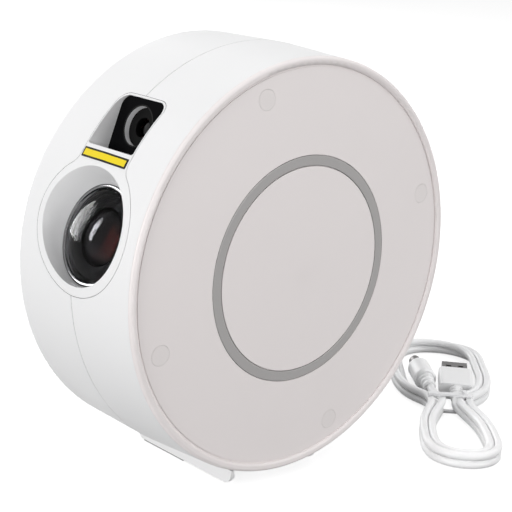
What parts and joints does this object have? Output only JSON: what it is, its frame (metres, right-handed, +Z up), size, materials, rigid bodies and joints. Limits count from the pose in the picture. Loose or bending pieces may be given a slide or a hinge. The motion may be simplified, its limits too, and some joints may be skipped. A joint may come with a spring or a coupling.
{
  "type": "planetarium projector",
  "caption": "Drum-shaped star and nebula projector: a white drum with a domed lens and a laser window on its rim, on a low cradle, with a folded USB power cable.",
  "frame": {"origin": "on the ground under the middle of the drum and its cradle", "axes": "+Z up, -Y towards the drum's flat front cover, +Y along the drum's axis to its rear wall; the lens looks towards -X and a little up"},
  "size_m": [0.2587, 0.1205, 0.1672],
  "materials": {
    "shell_white": "fine matt",
    "cover_white": "fine matt",
    "trim_grey": "satin",
    "plug_grey": "matt",
    "recess_white": "satin",
    "film_yellow": "printed film, blank",
    "black_gloss": "gloss",
    "black_matt": "matt",
    "chrome": "polished",
    "lens_glass": "clear",
    "inner_glass": "clear",
    "ripple_clear": "rippled",
    "grating_film": "fine grating",
    "tube_grey": "satin",
    "chassis_grey": "matt",
    "steel": "zinc plated",
    "heatsink_black": "anodised",
    "brass": "turned",
    "led_board_white": "solder mask",
    "led_yellow": "phosphor",
    "gear_cream": "acetal",
    "pcb_green": "solder mask",
    "chip_black": "matt",
    "switch_black": "matt",
    "button_white": "satin",
    "cone_black": "paper",
    "magnet_grey": "plated",
    "pad_grey": "matt",
    "cable_white": "satin",
    "plug_white": "satin",
    "tie_clear": "clear film"
  },
  "bodies": {
    "stand": {"cradle": "shell_white", "saddle_pads": "pad_grey", "foot_pads": "pad_grey", "cable_hank": "cable_white", "cable_tie": "tie_clear", "cable_lead": "cable_white", "dc_plug_body": "plug_white", "dc_plug_barrel": "steel", "usb_plug_body": "plug_white", "usb_plug_shell": "steel"},
    "drum": {"front_cover": "cover_white", "ring_trim": "trim_grey", "screw_plugs": "plug_grey", "cover_screws": "steel", "front_shell": "shell_white", "rear_shell": "shell_white", "lens_bezel": "recess_white", "blank_strip": "film_yellow", "window_plate": "black_gloss", "chrome_ring": "chrome", "dome_lens": "lens_glass", "lens_barrel": "black_matt", "inner_lens": "inner_glass", "laser_tube": "tube_grey", "laser_baffle": "black_matt", "laser_lens": "inner_glass", "optical_chassis": "chassis_grey", "chassis_screws": "steel", "chassis_fixings": "steel", "led_tube": "black_matt", "collimator_lens": "inner_glass", "led_board": "led_board_white", "led_chips": "led_yellow", "led_heatsink": "heatsink_black", "laser_module": "brass", "laser_clamp": "heatsink_black", "wheel_motor": "steel", "ripple_axle": "steel", "main_board": "pcb_green", "board_chips": "chip_black", "board_screws": "steel", "tact_switches": "switch_black", "power_inlet": "black_matt", "inlet_pin": "steel", "speaker_frame": "trim_grey", "speaker_cone": "cone_black", "speaker_magnet": "magnet_grey", "speaker_screws": "steel"},
    "motor_drive": {"motor_shaft": "steel", "drive_gear": "gear_cream"},
    "ripple_wheel": {"ripple_gear": "gear_cream", "ripple_hub": "gear_cream", "ripple_disc": "ripple_clear"},
    "grating_wheel": {"grating_gear": "gear_cream", "grating_disc": "grating_film"},
    "button_power": {"button_power": "button_white"},
    "button_lights": {"button_lights": "button_white"},
    "button_laser": {"button_laser": "button_white"},
    "button_sound": {"button_sound": "button_white"}
  },
  "joints": [
    {"name": "drum_roll", "type": "hinge", "parent": "stand", "child": "drum", "pos_m": [0, 0, 0.0854], "axis": [0, 1, 0], "continuous": true},
    {"name": "motor_spin", "type": "hinge", "parent": "drum", "child": "motor_drive", "pos_m": [-0.0388, -0.00215, 0.10975], "axis": [-0.9426, 0, 0.3338], "continuous": true},
    {"name": "ripple_spin", "type": "hinge", "parent": "drum", "child": "ripple_wheel", "pos_m": [-0.04948, -0.00215, 0.07958], "axis": [-0.9426, 0, 0.3338], "continuous": true},
    {"name": "grating_spin", "type": "hinge", "parent": "drum", "child": "grating_wheel", "pos_m": [-0.03159, -0.00215, 0.13011], "axis": [-0.9426, 0, 0.3338], "continuous": true},
    {"name": "button_power_press", "type": "slide", "parent": "drum", "child": "button_power", "axis": [0, -1, 0], "range_m": [0, 0.0006], "stiffness_N_per_m": 800, "springref_m": -0.0002},
    {"name": "button_lights_press", "type": "slide", "parent": "drum", "child": "button_lights", "axis": [0, -1, 0], "range_m": [0, 0.0006], "stiffness_N_per_m": 800, "springref_m": -0.0002},
    {"name": "button_laser_press", "type": "slide", "parent": "drum", "child": "button_laser", "axis": [0, -1, 0], "range_m": [0, 0.0006], "stiffness_N_per_m": 800, "springref_m": -0.0002},
    {"name": "button_sound_press", "type": "slide", "parent": "drum", "child": "button_sound", "axis": [0, -1, 0], "range_m": [0, 0.0006], "stiffness_N_per_m": 800, "springref_m": -0.0002}
  ],
  "couplings": [
    {"joint": "ripple_spin", "follows": "motor_spin", "ratio": -0.48148},
    {"joint": "grating_spin", "follows": "motor_spin", "ratio": -0.92857}
  ]
}
